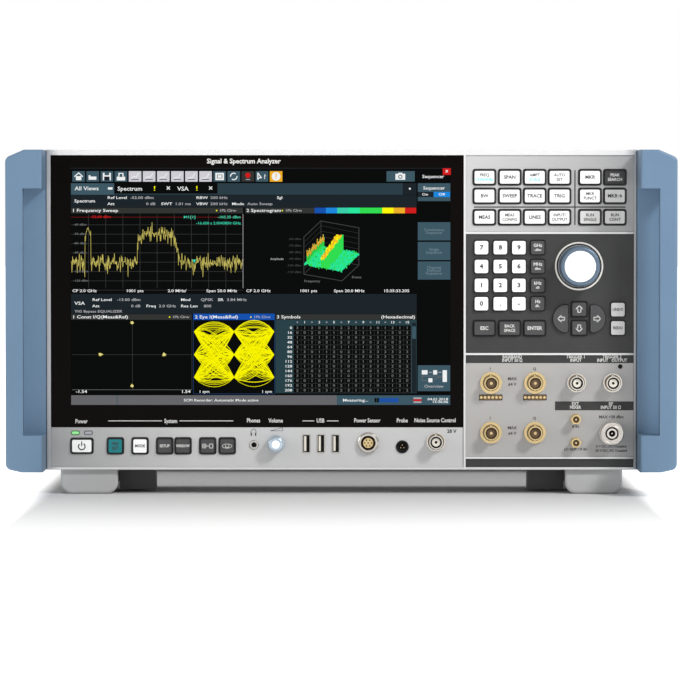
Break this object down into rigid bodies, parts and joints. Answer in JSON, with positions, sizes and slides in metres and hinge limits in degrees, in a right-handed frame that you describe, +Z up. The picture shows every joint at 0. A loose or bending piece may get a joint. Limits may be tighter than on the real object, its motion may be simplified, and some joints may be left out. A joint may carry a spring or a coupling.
{
  "type": "spectrum analyzer",
  "caption": "Bench spectrum analyser: wide case with a touch display, key panels, knobs, front connectors and upright side handles.",
  "frame": {"origin": "on the table under the middle of the instrument", "axes": "+X to the operator's right, +Y from the front to the rear, +Z up"},
  "size_m": [0.462, 0.504, 0.24],
  "materials": {
    "frame_silver": "satin light silver",
    "strip_silver": "fine satin",
    "panel_light": "satin film",
    "panel_dark": "matt film",
    "display_black": "polished touch glass",
    "handle_blue": "satin blue-grey",
    "case_paint": "fine textured paint",
    "rear_plate": "satin",
    "zinc_steel": "zinc plated",
    "circuit_board": "solder mask",
    "module_tin": "plain",
    "gold_plate": "gold plated",
    "nickel_plate": "nickel plated",
    "black_plastic": "moulded",
    "foot_grey": "moulded",
    "leg_dark": "moulded",
    "bumper_grey": "moulded",
    "knob_blue": "turned and anodised",
    "key_white": "moulded",
    "key_dark": "moulded",
    "key_teal": "moulded",
    "lcd_back": "metal and plastic module"
  },
  "bodies": {
    "case": {"bnc_gold": "gold_plate", "bnc_nickel": "nickel_plate", "bottom_cover": "case_paint", "chassis": "zinc_steel", "computer_board": "circuit_board", "connector_panel": "panel_light", "control_strip": "strip_silver", "data_ports": "nickel_plate", "display_glass": "display_black", "fan_frames": "black_plastic", "front_board": "circuit_board", "front_feet": "foot_grey", "front_frame": "frame_silver", "function_panel": "panel_light", "handle_left": "handle_blue", "handle_right": "handle_blue", "keypad_panel": "panel_dark", "knob_mounts": "nickel_plate", "lcd_module": "lcd_back", "mains_inlet": "black_plastic", "panel_inserts": "gold_plate", "power_supply": "module_tin", "rear_bumpers": "bumper_grey", "rear_panel": "rear_plate", "rf_input": "nickel_plate", "rf_module": "module_tin", "round_sockets": "nickel_plate", "screws": "zinc_steel", "sma_jacks": "gold_plate", "top_cover": "case_paint"},
    "fan_rotor_inner": {"fan_rotor_inner": "black_plastic"},
    "fan_rotor_outer": {"fan_rotor_outer": "black_plastic"},
    "function_keys_bottom": {"function_keys_bottom": "key_white"},
    "function_keys_middle": {"function_keys_middle": "key_white"},
    "function_keys_top": {"function_keys_top": "key_white"},
    "key_backspace": {"key_backspace": "key_dark"},
    "key_display": {"key_display": "key_dark"},
    "key_down": {"key_down": "key_dark"},
    "key_enter": {"key_enter": "key_dark"},
    "key_escape": {"key_escape": "key_dark"},
    "key_file": {"key_file": "key_dark"},
    "key_left": {"key_left": "key_dark"},
    "key_mode": {"key_mode": "key_white"},
    "key_power": {"key_power": "key_white"},
    "key_preset": {"key_preset": "key_teal"},
    "key_print": {"key_print": "key_dark"},
    "key_redo": {"key_redo": "key_white"},
    "key_right": {"key_right": "key_dark"},
    "key_setup": {"key_setup": "key_dark"},
    "key_undo": {"key_undo": "key_white"},
    "key_up": {"key_up": "key_dark"},
    "main_knob": {"main_knob": "knob_blue"},
    "number_keys_four": {"number_keys_four": "key_white"},
    "number_keys_one": {"number_keys_one": "key_white"},
    "number_keys_seven": {"number_keys_seven": "key_white"},
    "number_keys_zero": {"number_keys_zero": "key_white"},
    "power_rocker": {"power_rocker": "black_plastic"},
    "tilt_leg_left": {"tilt_leg_left": "leg_dark"},
    "tilt_leg_right": {"tilt_leg_right": "leg_dark"},
    "volume_knob": {"volume_knob": "knob_blue"}
  },
  "joints": [
    {"name": "function_keys_bottom_press", "type": "slide", "parent": "case", "child": "function_keys_bottom", "axis": [0, 1, 0], "range_m": [0, 0.0012], "stiffness_N_per_m": 300, "springref_m": -0.001},
    {"name": "function_keys_middle_press", "type": "slide", "parent": "case", "child": "function_keys_middle", "axis": [0, 1, 0], "range_m": [0, 0.0012], "stiffness_N_per_m": 300, "springref_m": -0.001},
    {"name": "function_keys_top_press", "type": "slide", "parent": "case", "child": "function_keys_top", "axis": [0, 1, 0], "range_m": [0, 0.0012], "stiffness_N_per_m": 300, "springref_m": -0.001},
    {"name": "key_backspace_press", "type": "slide", "parent": "case", "child": "key_backspace", "axis": [0, 1, 0], "range_m": [0, 0.0012], "stiffness_N_per_m": 300, "springref_m": -0.001},
    {"name": "key_display_press", "type": "slide", "parent": "case", "child": "key_display", "axis": [0, 1, 0], "range_m": [0, 0.0012], "stiffness_N_per_m": 300, "springref_m": -0.001},
    {"name": "key_down_press", "type": "slide", "parent": "case", "child": "key_down", "axis": [0, 1, 0], "range_m": [0, 0.0012], "stiffness_N_per_m": 300, "springref_m": -0.001},
    {"name": "key_enter_press", "type": "slide", "parent": "case", "child": "key_enter", "axis": [0, 1, 0], "range_m": [0, 0.0012], "stiffness_N_per_m": 300, "springref_m": -0.001},
    {"name": "key_escape_press", "type": "slide", "parent": "case", "child": "key_escape", "axis": [0, 1, 0], "range_m": [0, 0.0012], "stiffness_N_per_m": 300, "springref_m": -0.001},
    {"name": "key_file_press", "type": "slide", "parent": "case", "child": "key_file", "axis": [0, 1, 0], "range_m": [0, 0.0012], "stiffness_N_per_m": 300, "springref_m": -0.001},
    {"name": "key_left_press", "type": "slide", "parent": "case", "child": "key_left", "axis": [0, 1, 0], "range_m": [0, 0.0012], "stiffness_N_per_m": 300, "springref_m": -0.001},
    {"name": "key_mode_press", "type": "slide", "parent": "case", "child": "key_mode", "axis": [0, 1, 0], "range_m": [0, 0.0012], "stiffness_N_per_m": 300, "springref_m": -0.001},
    {"name": "key_power_press", "type": "slide", "parent": "case", "child": "key_power", "axis": [0, 1, 0], "range_m": [0, 0.0012], "stiffness_N_per_m": 300, "springref_m": -0.001},
    {"name": "key_preset_press", "type": "slide", "parent": "case", "child": "key_preset", "axis": [0, 1, 0], "range_m": [0, 0.0012], "stiffness_N_per_m": 300, "springref_m": -0.001},
    {"name": "key_print_press", "type": "slide", "parent": "case", "child": "key_print", "axis": [0, 1, 0], "range_m": [0, 0.0012], "stiffness_N_per_m": 300, "springref_m": -0.001},
    {"name": "key_redo_press", "type": "slide", "parent": "case", "child": "key_redo", "axis": [0, 1, 0], "range_m": [0, 0.0012], "stiffness_N_per_m": 300, "springref_m": -0.001},
    {"name": "key_right_press", "type": "slide", "parent": "case", "child": "key_right", "axis": [0, 1, 0], "range_m": [0, 0.0012], "stiffness_N_per_m": 300, "springref_m": -0.001},
    {"name": "key_setup_press", "type": "slide", "parent": "case", "child": "key_setup", "axis": [0, 1, 0], "range_m": [0, 0.0012], "stiffness_N_per_m": 300, "springref_m": -0.001},
    {"name": "key_undo_press", "type": "slide", "parent": "case", "child": "key_undo", "axis": [0, 1, 0], "range_m": [0, 0.0012], "stiffness_N_per_m": 300, "springref_m": -0.001},
    {"name": "key_up_press", "type": "slide", "parent": "case", "child": "key_up", "axis": [0, 1, 0], "range_m": [0, 0.0012], "stiffness_N_per_m": 300, "springref_m": -0.001},
    {"name": "number_keys_four_press", "type": "slide", "parent": "case", "child": "number_keys_four", "axis": [0, 1, 0], "range_m": [0, 0.0012], "stiffness_N_per_m": 300, "springref_m": -0.001},
    {"name": "number_keys_one_press", "type": "slide", "parent": "case", "child": "number_keys_one", "axis": [0, 1, 0], "range_m": [0, 0.0012], "stiffness_N_per_m": 300, "springref_m": -0.001},
    {"name": "number_keys_seven_press", "type": "slide", "parent": "case", "child": "number_keys_seven", "axis": [0, 1, 0], "range_m": [0, 0.0012], "stiffness_N_per_m": 300, "springref_m": -0.001},
    {"name": "number_keys_zero_press", "type": "slide", "parent": "case", "child": "number_keys_zero", "axis": [0, 1, 0], "range_m": [0, 0.0012], "stiffness_N_per_m": 300, "springref_m": -0.001},
    {"name": "tilt_leg_left_fold", "type": "hinge", "parent": "case", "child": "tilt_leg_left", "pos_m": [-0.165, -0.168, 0.0085], "axis": [-1, 0, 0], "range_deg": [0, 80]},
    {"name": "tilt_leg_right_fold", "type": "hinge", "parent": "case", "child": "tilt_leg_right", "pos_m": [0.165, -0.168, 0.0085], "axis": [-1, 0, 0], "range_deg": [0, 80]},
    {"name": "fan_rotor_outer_spin", "type": "hinge", "parent": "case", "child": "fan_rotor_outer", "pos_m": [-0.15, 0.19, 0.19], "axis": [0, 1, 0], "continuous": true},
    {"name": "fan_rotor_inner_spin", "type": "hinge", "parent": "case", "child": "fan_rotor_inner", "pos_m": [-0.062, 0.19, 0.19], "axis": [0, 1, 0], "continuous": true},
    {"name": "power_rocker_tip", "type": "hinge", "parent": "case", "child": "power_rocker", "pos_m": [-0.104, 0.205, 0.052], "axis": [1, 0, 0], "range_deg": [0, 12]},
    {"name": "main_knob_turn", "type": "hinge", "parent": "case", "child": "main_knob", "pos_m": [0.1653, -0.215, 0.1589], "axis": [0, -1, 0], "continuous": true},
    {"name": "volume_knob_turn", "type": "hinge", "parent": "case", "child": "volume_knob", "pos_m": [-0.0456, -0.215, 0.0351], "axis": [0, -1, 0], "continuous": true}
  ]
}
